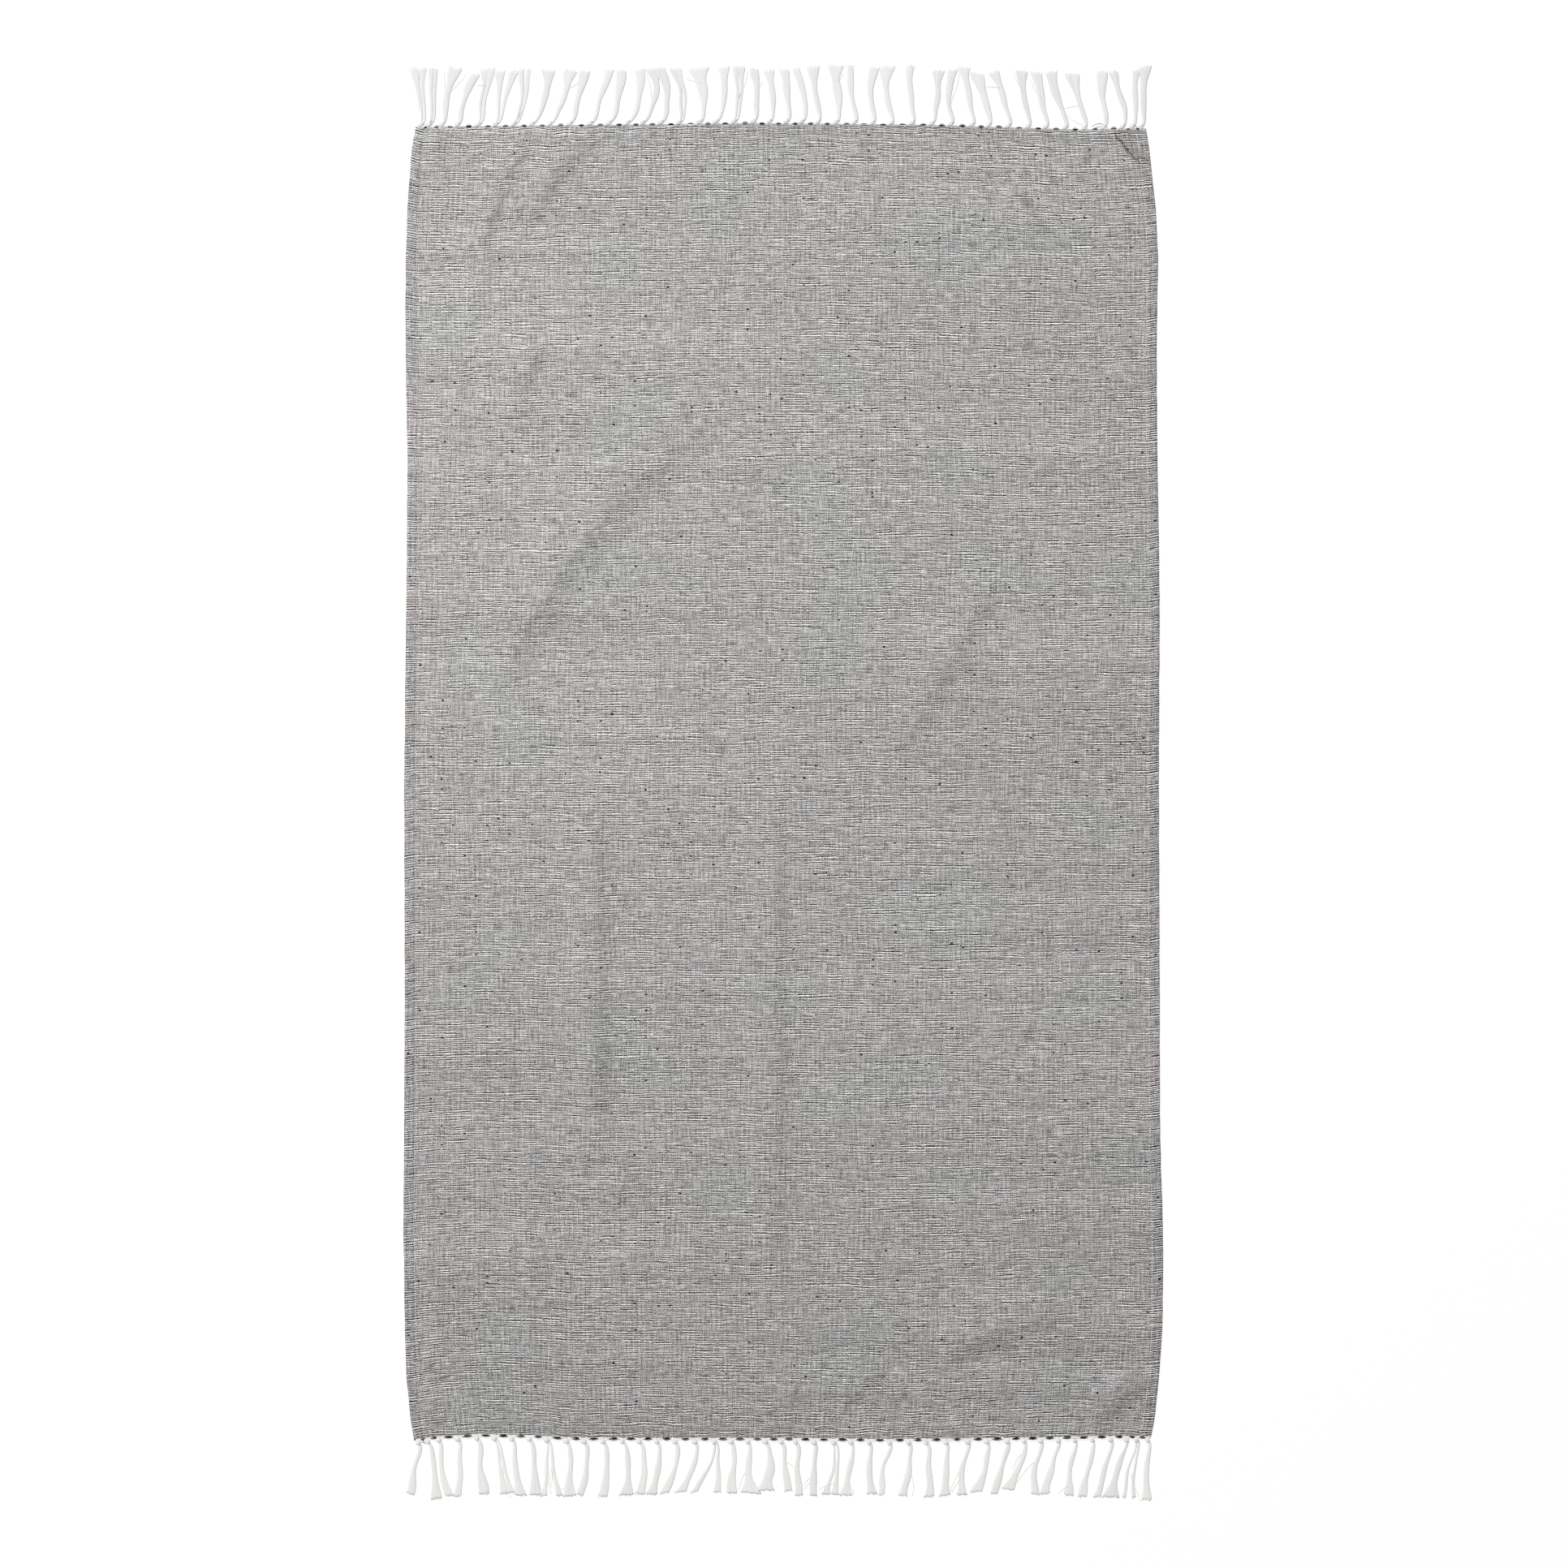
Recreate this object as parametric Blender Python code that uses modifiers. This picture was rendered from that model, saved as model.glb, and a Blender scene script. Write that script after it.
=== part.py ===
"""A hammam towel lying flat on the floor.

One woven sheet with turned hems down its long sides, and at each end a row of knotted tassels made of
the cloth's own warp. Metres, +Z up: +Y runs along the towel and +X across it, and the origin is on the
floor under the middle. The tables below are in millimetres, and MM turns them into metres.
"""

import math
from collections import namedtuple

import bmesh
import bpy
import numpy as np
from mathutils import Vector

MM = 0.001

# Driving sizes, in millimetres.
HALF_WIDTH = 500.0
HALF_LENGTH = 864.0
CLOTH_THICK = 1.5
HEM_WIDE = 14.0
HEM_THICK = 2.5
HEM_STEP = 2.0
COLUMN_PITCH = 19.6
COLUMNS_EACH_SIDE = 24
ROWS = 88

STRIP_GAP = 0.3
STRIP_WIDE = 2.5
STRIP_THICK = 1.6
STRIP_INSET = 3.0
ROOT_WIDE = 4.6
KNOT_WIDE = 6.6
KNOT_HIGH = 5.0
NECK_WIDE = 3.8
TOP_SHARE = 0.72
SPLIT_APART = 1.9
SPLIT_POWER = 1.6

CLOTH_COLOUR = (0.39, 0.38, 0.37)
YARN_COLOUR = (0.80, 0.80, 0.78)
COTTON_ROUGHNESS = 0.92

# The long sides: how far the left and the right edge stand from the centre line, a row for each place
# along the towel where an edge changes its course.
Side = namedtuple("Side", "y left right")
SIDES = [
    Side(-866, 486, 484),
    Side(-830, 491.5, 490.5),
    Side(-785, 496, 495),
    Side(-720, 498.5, 499.5),
    Side(-655, 499.5, 500.5),
    Side(-590, 500.5, 500.5),
    Side(-465, 499.5, 496.5),
    Side(-270, 498.5, 496),
    Side(0, 499.5, 495),
    Side(245, 496.5, 496),
    Side(435, 495, 493),
    Side(560, 497.5, 492),
    Side(690, 497.5, 494),
    Side(760, 495, 490.5),
    Side(835, 489.5, 482.5),
    Side(866, 484, 477.5),
]

# The two ends: how far the edge lies from the middle of the towel, a row for each place across it.
End = namedtuple("End", "x reach")
TOP_END = [
    End(-484, 866),
    End(-300, 868),
    End(-40, 871),
    End(180, 869),
    End(390, 862.5),
    End(478, 864.5),
]
BOTTOM_END = [
    End(-487, 865),
    End(-455, 861),
    End(-400, 858),
    End(-330, 859.5),
    End(-280, 862.5),
    End(0, 863),
    End(150, 864.5),
    End(300, 862.5),
    End(440, 860),
    End(485, 861),
]

# The folds, as soft ridges: where each starts and ends, how far its middle bends towards the lower right,
# its height, and how wide its flanks are to the upper left and to the lower right.
Fold = namedtuple("Fold", "name x0 y0 x1 y1 bend high wide_upper wide_lower")
FOLDS = [
    Fold("long diagonal", -118, 462, -380, 130, -33, 4.5, 44, 30),
    Fold("right diagonal", 273, 264, 166, 66, -4, 3.4, 44, 26),
    Fold("arch between them", -110, 428, 262, 322, -26, 1.8, 36, 40),
    Fold("quarter crease", -250, -10, -250, -490, 0, 3.4, 46, 30),
    Fold("centre crease", -18, -10, -18, -640, 0, 3.4, 50, 33),
    Fold("centre crease, low end", -14, -620, -10, -850, 0, 1.8, 44, 30),
    Fold("top left, outer", -328, 858, -402, 680, -10, 4.2, 34, 28),
    Fold("top left, inner", -262, 858, -345, 735, -6, 4.4, 34, 28),
    Fold("left, short", -322, 590, -360, 465, -7, 2.6, 36, 28),
    Fold("top right corner", 434, 866, 466, 812, 0, 4.2, 28, 28),
    Fold("top right, short", 300, 772, 352, 718, 0, 2.4, 30, 28),
    Fold("bottom right, long", 205, -778, 385, -698, -14, 5.2, 36, 28),
    Fold("bottom right corner", 410, -840, 480, -776, -8, 5.2, 32, 28),
    Fold("bottom, short", 78, -815, 130, -774, 0, 3.0, 30, 28),
    Fold("quarter crease, foot", -192, -500, -238, -553, 0, 2.4, 30, 28),
]

# The tassels: where each knot sits across the towel, how far the cut end leans from it, how far the middle
# bows to the right, the width of the cut end, the length, and how far apart its two locks end (0 for one).
Tassel = namedtuple("Tassel", "knot lean bow flare length split")
TOP_TASSELS = [
    Tassel(-477, -5, 2, 18, 77, 10),
    Tassel(-466, 4, 2, 9, 76, 6),
    Tassel(-449, 17, -3, 14, 76, 0),
    Tassel(-428, 24, -6, 12, 68, 0),
    Tassel(-401, 13, -1, 15, 75, 8),
    Tassel(-378, 14, 0, 22, 72, 19),
    Tassel(-354, 14, 4, 12, 74, 9),
    Tassel(-330, 21, 5, 13, 72, 0),
    Tassel(-306, 27, 2, 14, 72, 0),
    Tassel(-280, 19, 0, 12, 71, 0),
    Tassel(-253, 24, 0, 13, 72, 0),
    Tassel(-229, 15, 4, 12, 71, 0),
    Tassel(-204, 14, 7, 11, 72, 0),
    Tassel(-184, 10, 8, 13, 73, 0),
    Tassel(-160, 0, 8, 11, 73, 0),
    Tassel(-136, -5, 5, 12, 72, 7),
    Tassel(-109, -3, 4, 25, 73, 0),
    Tassel(-88, 9, 5, 13, 74, 0),
    Tassel(-64, 6, 2, 13, 74, 8),
    Tassel(-38, 0, 2, 9, 71, 0),
    Tassel(-17, -2, 3, 11, 70, 0),
    Tassel(5, -4, 2, 14, 70, 0),
    Tassel(25, -9, 6, 9, 72, 0),
    Tassel(47, -8, -1, 13, 75, 0),
    Tassel(71, -2, 1, 16, 76, 0),
    Tassel(95, -7, -2, 8, 77, 0),
    Tassel(119, 1, -5, 12, 74, 0),
    Tassel(144, -6, -6, 16, 76, 0),
    Tassel(171, -3, -3, 9, 77, 0),
    Tassel(197, 9, 0, 12, 71, 0),
    Tassel(222, 2, -6, 13, 73, 0),
    Tassel(250, -11, -1, 13, 77, 0),
    Tassel(272, -17, 1, 15, 70, 0),
    Tassel(298, -21, 2, 13, 73, 0),
    Tassel(324, -10, -2, 13, 74, 0),
    Tassel(347, -13, -1, 13, 74, 0),
    Tassel(373, -21, -1, 15, 75, 0),
    Tassel(398, -18, 0, 17, 73, 0),
    Tassel(423, -4, 0, 15, 75, 0),
    Tassel(448, -15, 5, 9, 75, 0),
    Tassel(461, 4, 0, 8, 76, 0),
    Tassel(473, 4, -1, 13, 81, 0),
]
BOTTOM_TASSELS = [
    Tassel(-480, -12, 0, 12, 72, 0),
    Tassel(-468, 11, 2, 13, 80, 0),
    Tassel(-453, 14, -5, 11, 78, 0),
    Tassel(-428, 0, 1, 9, 80, 0),
    Tassel(-403, 8, 0, 14, 78, 0),
    Tassel(-380, 16, 1, 17, 77, 9),
    Tassel(-357, 11, -2, 14, 79, 0),
    Tassel(-334, 7, 2, 15, 78, 0),
    Tassel(-311, 6, 0, 13, 78, 20),
    Tassel(-285, 3, 2, 16, 77, 0),
    Tassel(-262, -6, 5, 10, 75, 0),
    Tassel(-237, -1, 4, 12, 77, 0),
    Tassel(-211, 4, 4, 15, 75, 0),
    Tassel(-189, 0, 5, 13, 74, 0),
    Tassel(-166, -8, 4, 13, 74, 0),
    Tassel(-142, -15, 6, 12, 72, 0),
    Tassel(-116, -20, 6, 12, 71, 0),
    Tassel(-90, -12, 3, 16, 71, 31),
    Tassel(-68, 0, 1, 14, 72, 0),
    Tassel(-46, 3, -2, 18, 72, 0),
    Tassel(-23, 1, 5, 18, 69, 0),
    Tassel(-2, 9, -1, 12, 69, 0),
    Tassel(17, 3, 0, 10, 75, 0),
    Tassel(41, -1, -1, 10, 75, 0),
    Tassel(67, -5, 3, 18, 73, 11),
    Tassel(90, -9, 1, 14, 74, 0),
    Tassel(114, 3, -3, 12, 72, 0),
    Tassel(141, -12, -4, 7, 73, 0),
    Tassel(166, -8, 2, 12, 74, 0),
    Tassel(189, 3, 1, 12, 76, 0),
    Tassel(215, -1, -1, 13, 75, 0),
    Tassel(244, -9, -4, 13, 74, 0),
    Tassel(269, -14, 3, 14, 70, 0),
    Tassel(296, -18, 0, 10, 73, 0),
    Tassel(318, -23, 4, 16, 68, 0),
    Tassel(340, -9, -4, 10, 75, 0),
    Tassel(363, -18, -2, 16, 75, 0),
    Tassel(385, -9, -3, 10, 77, 0),
    Tassel(408, -14, 0, 10, 79, 0),
    Tassel(432, -19, 1, 9, 80, 0),
    Tassel(453, -21, -3, 18, 80, 0),
    Tassel(466, -11, -2, 9, 80, 14),
    Tassel(481, -2, -2, 11, 83, 0),
]

# The sections of a tassel, from its knot to its cut end: how far along, the width there as a base and a
# share of the flare past the neck, and the height. Every section stands on the floor.
Section = namedtuple("Section", "name along base share high")
SECTIONS = [
    Section("knot, near", 0.03, KNOT_WIDE, 0.0, KNOT_HIGH),
    Section("knot, far", 0.08, KNOT_WIDE, 0.0, KNOT_HIGH),
    Section("neck", 0.14, NECK_WIDE, 0.0, 3.4),
    Section("body", 0.42, NECK_WIDE, 0.35, 3.0),
    Section("brush", 0.74, NECK_WIDE, 0.60, 2.6),
    Section("cut end", 1.0, NECK_WIDE, 1.0, 1.6),
]


def clear_scene():
    for obj in list(bpy.data.objects):
        bpy.data.objects.remove(obj)


def matte_cotton(name, colour):
    material = bpy.data.materials.new(name)
    material.use_nodes = True
    shader = material.node_tree.nodes["Principled BSDF"]
    shader.inputs["Base Color"].default_value = (*colour, 1.0)
    shader.inputs["Roughness"].default_value = COTTON_ROUGHNESS
    shader.inputs["Metallic"].default_value = 0.0
    return material


def add_part(name, bm, collection, material):
    """Makes a mesh object of the part from a bmesh in millimetres."""
    bmesh.ops.scale(bm, vec=(MM, MM, MM), verts=bm.verts)
    mesh = bpy.data.meshes.new(name)
    bm.to_mesh(mesh)
    bm.free()
    mesh.materials.append(material)
    obj = bpy.data.objects.new(name, mesh)
    collection.objects.link(obj)
    return obj


def column(rows, field):
    return [getattr(row, field) for row in rows]


def end_reach(end, x):
    """How far the cloth's edge lies from the middle of the towel, at a place across it."""
    return float(np.interp(x, column(end, "x"), column(end, "reach")))


def fold_height(x, y):
    """How high the folds lift the cloth at a place on the floor."""
    height = 0.0
    for fold in FOLDS:
        chord = Vector((fold.x1 - fold.x0, fold.y1 - fold.y0))
        length = chord.length
        run = chord / length
        lower_right = Vector((run.y, -run.x))
        if lower_right.x - lower_right.y < 0:
            lower_right = -lower_right
        place = Vector((x - fold.x0, y - fold.y0))
        along = place.dot(run) / length
        if not 0 < along < 1:
            continue
        aside = place.dot(lower_right) - fold.bend * 4 * along * (1 - along)
        reach = abs(aside) / (fold.wide_lower if aside > 0 else fold.wide_upper)
        if reach < 1:
            fade = math.sqrt(math.sin(math.pi * along))
            height = max(height, fold.high * fade * (1 - reach**2) ** 2)
    return height


def cloth_place(across, along):
    """The place on the floor for a share of the half width and a share of the half length."""
    y = along * HALF_LENGTH
    left = -np.interp(y, column(SIDES, "y"), column(SIDES, "left"))
    right = np.interp(y, column(SIDES, "y"), column(SIDES, "right"))
    x = left + (right - left) * (across + 1) / 2
    end = TOP_END if along > 0 else BOTTOM_END
    return float(x), float(along * end_reach(end, x))


def make_cloth(collection, material):
    """The sheet: a grid laid on its outline and lifted by its folds, thicker along the two side hems."""
    inner = [COLUMN_PITCH * k for k in range(-COLUMNS_EACH_SIDE, COLUMNS_EACH_SIDE + 1)]
    hem = [HALF_WIDTH - HEM_WIDE - HEM_STEP, HALF_WIDTH - HEM_WIDE, HALF_WIDTH]
    columns = [-x for x in reversed(hem)] + inner + hem
    bm = bmesh.new()
    bmesh.ops.create_grid(bm, x_segments=len(columns) - 1, y_segments=ROWS, size=1.0)
    turned = []
    for vert in bm.verts:
        nominal = columns[round((vert.co.x + 1) / 2 * (len(columns) - 1))]
        x, y = cloth_place(nominal / HALF_WIDTH, vert.co.y)
        vert.co = (x, y, fold_height(x, y))
        if abs(nominal) >= HALF_WIDTH - HEM_WIDE:
            turned.append(vert.index)
    cloth = add_part("towel_cloth", bm, collection, material)
    everywhere = range(len(cloth.data.vertices))
    weight = cloth.vertex_groups.new(name="thickness")
    weight.add(list(everywhere), CLOTH_THICK / HEM_THICK, "REPLACE")
    weight.add(turned, 1.0, "REPLACE")
    solid = cloth.modifiers.new("thickness", "SOLIDIFY")
    solid.thickness = HEM_THICK * MM
    solid.offset = 1.0
    solid.vertex_group = weight.name
    cloth.data.shade_smooth()
    return cloth


def bridge(near, far, bm, skip=None):
    """Joins two rings of four corners with quads, leaving out the side numbered skip."""
    for side in range(4):
        if side != skip:
            following = (side + 1) % 4
            bm.faces.new((near[side], near[following], far[following], far[side]))


def locks_of(tassels):
    """Each lock as (tassel, side): side is 0 for a whole tassel, and -1 or 1 for half of a split one."""
    locks = []
    for tassel in tassels:
        sides = (-1, 1) if tassel.split else (0,)
        locks += [(tassel, side) for side in sides]
    return locks


def lock_x(tassel, side, along):
    """How far across the towel a lock's middle lies, at a share of its length."""
    apart = SPLIT_APART + (tassel.split / 2 - SPLIT_APART) * along**SPLIT_POWER
    return tassel.knot + tassel.lean * along + tassel.bow * math.sin(math.pi * along) + side * apart


def grow_lock(bm, root, tassel, side, start, toward):
    """Lofts one lock out of its root on the strip, through its knot and neck to its cut end."""
    share = 0.5 if side else 1.0
    ring = root
    for section in SECTIONS:
        wide = share * (section.base + section.share * (tassel.flare - NECK_WIDE))
        x = lock_x(tassel, side, section.along)
        y = toward * (start + section.along * tassel.length)
        top = TOP_SHARE * wide
        corners = [(-wide, 0), (wide, 0), (top, section.high), (-top, section.high)]
        following = [bm.verts.new((x + half / 2, y, z)) for half, z in corners]
        bridge(ring, following, bm)
        ring = following
    bm.faces.new(ring)


def make_fringe(name, tassels, end, toward, collection, material):
    """A narrow strip along the end of the cloth, with a lock for each bunch of its warp."""
    bm = bmesh.new()
    locks = locks_of(tassels)
    stops = [column(end, "x")[0] + STRIP_INSET]
    for tassel, side in locks:
        half = ROOT_WIDE / (4 if side else 2)
        middle = lock_x(tassel, side, 0.0)
        stops += [middle - half, middle + half]
    stops.append(column(end, "x")[-1] - STRIP_INSET)

    def strip_ring(x):
        inner = end_reach(end, x) + STRIP_GAP
        outer = inner + STRIP_WIDE
        corners = [(inner, 0), (outer, 0), (outer, STRIP_THICK), (inner, STRIP_THICK)]
        return [bm.verts.new((x, toward * y, z)) for y, z in corners]

    rings = [strip_ring(x) for x in stops]
    bm.faces.new(rings[0])
    bm.faces.new(rings[-1])
    for number, (near, far) in enumerate(zip(rings, rings[1:])):
        is_root = number % 2 == 1
        bridge(near, far, bm, skip=1 if is_root else None)
        if is_root:
            tassel, side = locks[number // 2]
            start = end_reach(end, tassel.knot) + STRIP_GAP + STRIP_WIDE
            root = [near[1], far[1], far[2], near[2]]
            grow_lock(bm, root, tassel, side, start, toward)
    bmesh.ops.recalc_face_normals(bm, faces=bm.faces)
    return add_part(name, bm, collection, material)


def main():
    clear_scene()
    collection = bpy.data.collections.new("hammam_towel")
    bpy.context.scene.collection.children.link(collection)
    cotton = matte_cotton("slub_cotton", CLOTH_COLOUR)
    yarn = matte_cotton("fringe_yarn", YARN_COLOUR)
    make_cloth(collection, cotton)
    make_fringe("fringe_top", TOP_TASSELS, TOP_END, 1, collection, yarn)
    make_fringe("fringe_bottom", BOTTOM_TASSELS, BOTTOM_END, -1, collection, yarn)


main()
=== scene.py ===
"""The looks of a hammam towel that lies flat on a pale floor, seen from straight above.

A woven sheet takes the place of the plain cloth, and bundles of yarn take the place of the two fringes.
Lengths are in millimetres, as on the solids, and MM turns them into metres.
"""

import math
from collections import namedtuple

import bpy
import numpy as np
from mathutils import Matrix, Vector, noise


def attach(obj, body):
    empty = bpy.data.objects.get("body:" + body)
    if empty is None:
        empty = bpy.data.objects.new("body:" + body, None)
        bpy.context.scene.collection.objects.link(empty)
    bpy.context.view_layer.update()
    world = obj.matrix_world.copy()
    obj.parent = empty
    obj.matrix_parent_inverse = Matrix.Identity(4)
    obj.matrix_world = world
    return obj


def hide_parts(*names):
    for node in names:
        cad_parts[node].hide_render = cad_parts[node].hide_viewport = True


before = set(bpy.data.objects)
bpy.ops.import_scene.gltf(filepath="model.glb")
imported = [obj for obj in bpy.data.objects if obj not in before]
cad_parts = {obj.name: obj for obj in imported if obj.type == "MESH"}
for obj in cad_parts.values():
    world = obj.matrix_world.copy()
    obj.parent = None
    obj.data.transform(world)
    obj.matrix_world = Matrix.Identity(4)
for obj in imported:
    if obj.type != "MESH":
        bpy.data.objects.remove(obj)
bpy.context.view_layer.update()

MM = 0.001


def table(kind, *rows):
    return [kind(*row) for row in rows]


# ---- The towel -------------------------------------------

# As on the solids, apart from small shifts of the folds, which are up to 2.1 mm higher here.
HALF_WIDTH = 500.0
HALF_LENGTH = 864.0
CLOTH_THICK = 1.5
HEM_WIDE = 14.0
HEM_THICK = 2.5

# The long sides: how far the left and the right edge stand from the centre line.
Side = namedtuple("Side", "y left right")
SIDES = table(
    Side,
    (-866, 486, 484), (-830, 491.5, 490.5), (-785, 496, 495), (-720, 498.5, 499.5), (-655, 499.5, 500.5),
    (-590, 500.5, 500.5), (-465, 499.5, 496.5), (-270, 498.5, 496), (0, 499.5, 495), (245, 496.5, 496),
    (435, 495, 493), (560, 497.5, 492), (690, 497.5, 494), (760, 495, 490.5), (835, 489.5, 482.5),
    (866, 484, 477.5),
)

# The two ends: places across the towel, and how far the edge lies there from the middle.
TOP_EDGE = ((-484, 866), (-300, 868), (-40, 871), (180, 869), (390, 862.5), (478, 864.5))
BOTTOM_EDGE = (
    (-487, 865), (-455, 861), (-400, 858), (-330, 859.5), (-280, 862.5), (0, 863), (150, 864.5),
    (300, 862.5), (440, 860), (485, 861),
)

# The folds: where each starts and ends, how far its middle bends to the lower right, its height, the width
# of its upper left and lower right flanks, and how much painted shade darkens its crease, in levels of 255.
Fold = namedtuple("Fold", "x0 y0 x1 y1 bend high wide_upper wide_lower pressed", defaults=(0,))
FOLDS = table(
    Fold,
    (-100, 486, -386, 112, -34, 5.9, 80, 42, 8),  # long diagonal
    (277, 272, 162, 58, -4, 4.6, 48, 26, 4),  # right diagonal
    (-110, 428, 262, 322, -26, 1.2, 40, 44),  # arch between them
    (-250, 0, -250, -500, 0, 5.5, 58, 28, 7),  # quarter crease
    (-14, -10, -15, -640, 0, 4.2, 54, 26, 6),  # centre crease
    (-14, -620, -10, -850, 0, 1.8, 44, 30),  # centre crease, low end
    (-334, 860, -408, 682, -10, 4.4, 40, 20, 5),  # top left, outer
    (-262, 860, -345, 735, -6, 5.0, 42, 29, 3),  # top left, inner
    (-322, 590, -360, 465, -7, 3.4, 40, 27, 8),  # left, short
    (432, 866, 466, 810, 0, 4.6, 30, 36, 20),  # top right corner
    (291, 781, 343, 727, 0, 3.4, 44, 18, 12),  # top right, short
    (200, -768, 380, -688, -14, 4.6, 72, 26, 5),  # bottom right, long
    (410, -840, 480, -776, -8, 5.2, 32, 28, 8),  # bottom right corner
    (72, -810, 124, -769, 0, 3.8, 42, 21, 11),  # bottom, short
    (-192, -500, -238, -553, 0, 2.6, 30, 28, 9),  # quarter crease, foot
)

# Lesser folds, too low for the solids, in the same columns.
SMALL_FOLDS = table(
    Fold,
    (-385, 690, -412, 625, -3, 2.0, 26, 20, 3), (-294, 645, -230, 652, 0, 0.9, 18, 18),
    (-208, 862, -206, 815, 0, 1.2, 16, 16), (-118, 812, -178, 778, 4, 1.2, 22, 20),
    (80, 850, 146, 782, 0, 1.1, 24, 20), (372, 850, 400, 806, 0, 1.6, 22, 20),
    (412, 868, 446, 822, 0, 2.2, 24, 24, 7), (356, 430, 380, 398, 0, 1.0, 20, 18),
    (6, -780, 0, -846, 0, 1.8, 20, 18, 4), (172, -806, 168, -852, 0, 1.2, 18, 16),
    (-268, -574, -366, -656, 0, 1.1, 34, 28), (52, -84, 176, -90, 0, 0.8, 26, 26),
    (-452, -846, -486, -792, 4, 2.2, 26, 22), (-450, 866, -457, 806, 0, 2.0, 26, 18, 5),
    (452, -700, 484, -640, -4, 1.4, 24, 20),
)

# Each fringe begins this far from the cloth's edge, with a strip this wide that its tassels are fused to.
STRIP_GAP = 0.3
STRIP_WIDE = 2.5

# Two locks of one tassel part: half the space between them at the root, and how late they part.
SPLIT_APART = 1.9
SPLIT_POWER = 1.6

# All locks swing to the right on leaving their knot: how far, and how far out.
ROOT_SWING = 2.5
SWING_OUT = 10.0

# The tassels: where each knot sits across the towel, how far the cut end leans and the middle bows to the
# right of it, the width of the cut end, the length, and how far apart its locks end if it has two.
Tassel = namedtuple("Tassel", "knot lean bow flare length split", defaults=(0,))
TOP_TASSELS = table(
    Tassel,
    (-477, -5, 2, 18, 77, 10), (-466, 4, 2, 9, 76, 6), (-449, 17, -3, 14, 76), (-428, 24, -6, 12, 68),
    (-401, 13, -1, 15, 75, 8), (-378, 14, 0, 22, 72, 19), (-354, 14, 4, 12, 74, 9), (-330, 21, 5, 13, 72),
    (-306, 27, 2, 14, 72), (-280, 19, 0, 12, 71), (-253, 24, 0, 13, 72), (-229, 15, 4, 12, 71),
    (-204, 14, 7, 11, 72), (-184, 13, 8, 15, 73), (-160, -3, 8, 15, 73), (-136, -5, 5, 12, 72, 7),
    (-109, -3, 4, 25, 73), (-88, 9, 5, 13, 74), (-64, 6, 2, 13, 74, 8), (-38, 0, 2, 9, 71),
    (-17, -2, 3, 11, 70), (5, -4, 2, 14, 70), (25, -9, 6, 9, 72), (47, -8, -1, 13, 75),
    (71, -2, 1, 16, 76), (95, -7, -2, 8, 77), (119, 1, -5, 12, 74), (144, -6, -6, 16, 76),
    (171, -3, -3, 9, 77), (197, 9, 0, 12, 71), (222, 2, -6, 13, 73), (250, -11, -1, 13, 77),
    (272, -17, 1, 15, 70), (298, -21, 2, 13, 73), (324, -10, -2, 13, 74), (347, -13, -1, 13, 74),
    (373, -21, -1, 15, 75), (398, -18, 0, 17, 73), (423, -4, 0, 15, 75), (448, -15, 5, 9, 75),
    (461, 4, 0, 8, 76), (473, 4, -1, 13, 81),
)
BOTTOM_TASSELS = table(
    Tassel,
    (-480, -12, 0, 12, 72), (-468, 11, 2, 13, 80), (-453, 14, -5, 11, 78), (-428, 0, 1, 9, 80),
    (-403, 8, 0, 14, 78), (-380, 16, 1, 17, 77, 9), (-357, 11, -2, 14, 79), (-334, 7, 2, 15, 78),
    (-311, 6, 0, 13, 78, 20), (-285, 3, 2, 16, 77), (-262, -6, 5, 10, 75), (-237, -1, 4, 12, 77),
    (-211, 4, 4, 15, 75), (-189, 0, 5, 13, 74), (-166, -8, 4, 13, 74), (-142, -15, 6, 12, 72),
    (-116, -20, 6, 12, 71), (-90, -12, 3, 16, 71, 31), (-68, 0, 1, 14, 72), (-46, 3, -2, 22, 72),
    (-23, -1, 5, 23, 69), (-2, 9, -1, 12, 69), (17, 3, 0, 10, 75), (41, -1, -1, 10, 75),
    (67, -5, 3, 18, 73, 11), (90, -9, 1, 14, 74), (114, 3, -3, 12, 72), (141, -12, -4, 7, 73),
    (166, -8, 2, 12, 74), (189, 3, 1, 12, 76), (215, -1, -1, 13, 75), (244, -9, -4, 13, 74),
    (269, -14, 3, 14, 70), (296, -18, 0, 10, 73), (318, -23, 4, 16, 68), (340, -9, -4, 10, 75),
    (363, -18, -2, 16, 75), (385, -9, -3, 10, 77), (408, -14, 0, 10, 79), (432, -19, 1, 9, 80),
    (453, -21, -3, 18, 80), (466, -11, -2, 9, 80, 14), (481, -2, -2, 11, 83),
)

# Single yarns that have come away: their tassel's number from the left, the share of its length at which
# they leave it, where the tip lies, and how far they bow to the right.
Stray = namedtuple("Stray", "number leaves tip_x tip_y bow")
TOP_STRAYS = table(
    Stray,
    (3, 0.55, -419, 934, 1.5), (3, 0.5, -447, 939, -1), (5, 0.7, -403, 921, -1), (7, 0.12, -334, 938, 4),
    (9, 0.62, -267, 928, 2), (14, 0.28, -183, 945, 2.5), (17, 0.72, -129, 930, -1.5),
    (19, 0.45, -47, 940, 2), (20, 0.6, -29, 926, 2), (25, 0.7, 79, 937, 1), (31, 0.35, 232, 938, 2.5),
    (34, 0.7, 264, 920, -1), (35, 0.62, 304, 936, -1), (36, 0.5, 326, 929, -2), (38, 0.42, 370, 891, 3),
    (38, 0.02, 373, 882, -3), (41, 0.3, 461, 901, 1),
)
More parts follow.
